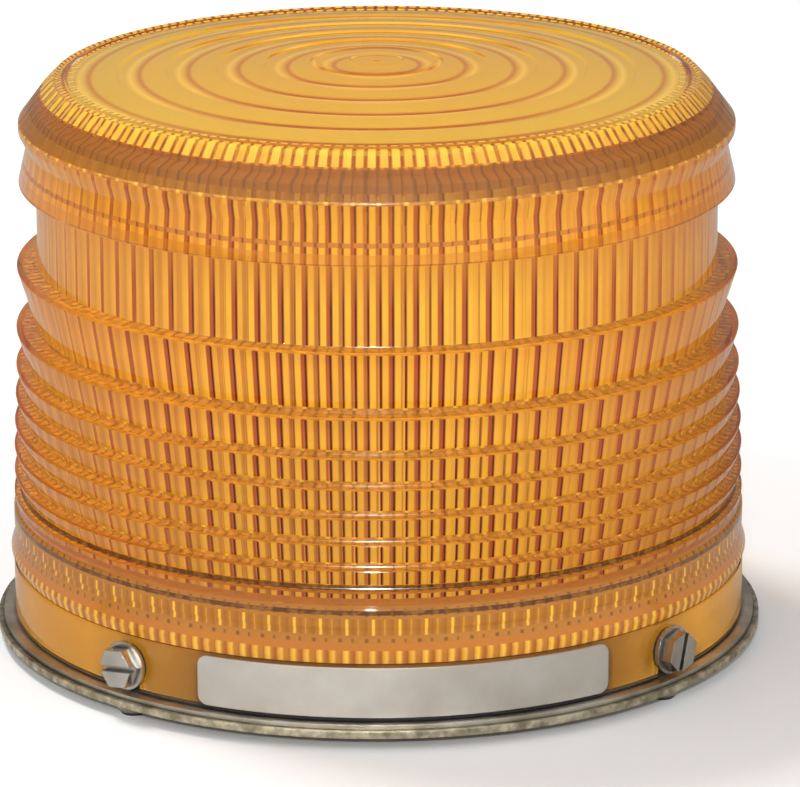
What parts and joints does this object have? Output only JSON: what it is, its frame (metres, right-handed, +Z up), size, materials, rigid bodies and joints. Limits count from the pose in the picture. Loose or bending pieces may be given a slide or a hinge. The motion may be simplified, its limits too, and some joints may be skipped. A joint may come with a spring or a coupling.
{
  "type": "strobe light",
  "caption": "Flash beacon with an amber Fresnel lens, a pressed steel base and a bare nameplate, and its flash tube, reflector and circuit inside.",
  "frame": {"origin": "centre of the base, level with the rivet heads that it stands on", "axes": "+Z up through the lens; -Y towards the nameplate"},
  "size_m": [0.1662, 0.1662, 0.1257],
  "materials": {
    "amber_lens": "clear amber moulding, gloss",
    "nameplate_metal": "satin, bare",
    "yellow_zinc": "zinc plated, yellow passivated",
    "zinc": "zinc plated",
    "nickel": "nickel plated",
    "rubber": "matt",
    "laminate": "solder mask over glass laminate",
    "sleeve": "shrink sleeve over an aluminium can",
    "ferrite": "sintered ferrite",
    "winding": "taped winding",
    "sink": "extruded, plain",
    "black_moulding": "moulded epoxy",
    "resistor": "lacquered",
    "green_moulding": "moulded nylon",
    "white_paint": "gloss white",
    "ceramic": "glazed ceramic",
    "flash_glass": "clear tube"
  },
  "bodies": {
    "base": {"base_plate": "yellow_zinc", "base_pan": "zinc", "plate_rivets": "zinc", "mounting_nuts": "zinc", "cable_grommet": "rubber", "lens_gasket": "rubber", "weld_nuts": "zinc", "board_standoffs": "zinc", "circuit_board": "laminate", "board_screws": "zinc", "storage_capacitor_1": "sleeve", "storage_capacitor_2": "sleeve", "transformer_core": "ferrite", "transformer_winding": "winding", "heat_sink": "sink", "power_transistor": "black_moulding", "transistor_screw": "zinc", "smoothing_capacitors": "sleeve", "resistors": "resistor", "timing_chip": "black_moulding", "terminal_block": "green_moulding", "terminal_screws": "zinc", "trigger_transformer": "black_moulding", "reflector_posts": "zinc", "reflector": "white_paint", "reflector_screws": "zinc", "tube_socket": "ceramic", "flash_tube": "flash_glass", "tube_caps": "nickel", "trigger_wire": "nickel"},
    "lens": {"lens": "amber_lens", "nameplate": "nameplate_metal"},
    "seal_1": {"sealing_washer_1": "rubber"},
    "screw_1": {"lens_screw_1": "nickel"},
    "seal_2": {"sealing_washer_2": "rubber"},
    "screw_2": {"lens_screw_2": "nickel"},
    "seal_3": {"sealing_washer_3": "rubber"},
    "screw_3": {"lens_screw_3": "nickel"},
    "seal_4": {"sealing_washer_4": "rubber"},
    "screw_4": {"lens_screw_4": "nickel"}
  },
  "joints": [
    {"name": "lens_lift", "type": "slide", "parent": "base", "child": "lens", "axis": [0, 0, 1], "range_m": [0, 0.13]},
    {"name": "screw_1_travel", "type": "slide", "parent": "base", "child": "seal_1", "axis": [-0.7071, -0.7071, 0], "range_m": [0, 0.00846]},
    {"name": "screw_1_turn", "type": "hinge", "parent": "seal_1", "child": "screw_1", "pos_m": [-0.05685, -0.05685, 0.0109], "axis": [-0.7071, -0.7071, 0], "range_deg": [0, 4320]},
    {"name": "screw_2_travel", "type": "slide", "parent": "base", "child": "seal_2", "axis": [0.7071, -0.7071, 0], "range_m": [0, 0.00846]},
    {"name": "screw_2_turn", "type": "hinge", "parent": "seal_2", "child": "screw_2", "pos_m": [0.05685, -0.05685, 0.0109], "axis": [0.7071, -0.7071, 0], "range_deg": [0, 4320]},
    {"name": "screw_3_travel", "type": "slide", "parent": "base", "child": "seal_3", "axis": [0.7071, 0.7071, 0], "range_m": [0, 0.00846]},
    {"name": "screw_3_turn", "type": "hinge", "parent": "seal_3", "child": "screw_3", "pos_m": [0.05685, 0.05685, 0.0109], "axis": [0.7071, 0.7071, 0], "range_deg": [0, 4320]},
    {"name": "screw_4_travel", "type": "slide", "parent": "base", "child": "seal_4", "axis": [-0.7071, 0.7071, 0], "range_m": [0, 0.00846]},
    {"name": "screw_4_turn", "type": "hinge", "parent": "seal_4", "child": "screw_4", "pos_m": [-0.05685, 0.05685, 0.0109], "axis": [-0.7071, 0.7071, 0], "range_deg": [0, 4320]}
  ],
  "couplings": [
    {"joint": "screw_1_turn", "follows": "screw_1_travel", "rad_per_m": 5938.7},
    {"joint": "screw_2_turn", "follows": "screw_2_travel", "rad_per_m": 5938.7},
    {"joint": "screw_3_turn", "follows": "screw_3_travel", "rad_per_m": 5938.7},
    {"joint": "screw_4_turn", "follows": "screw_4_travel", "rad_per_m": 5938.7}
  ]
}
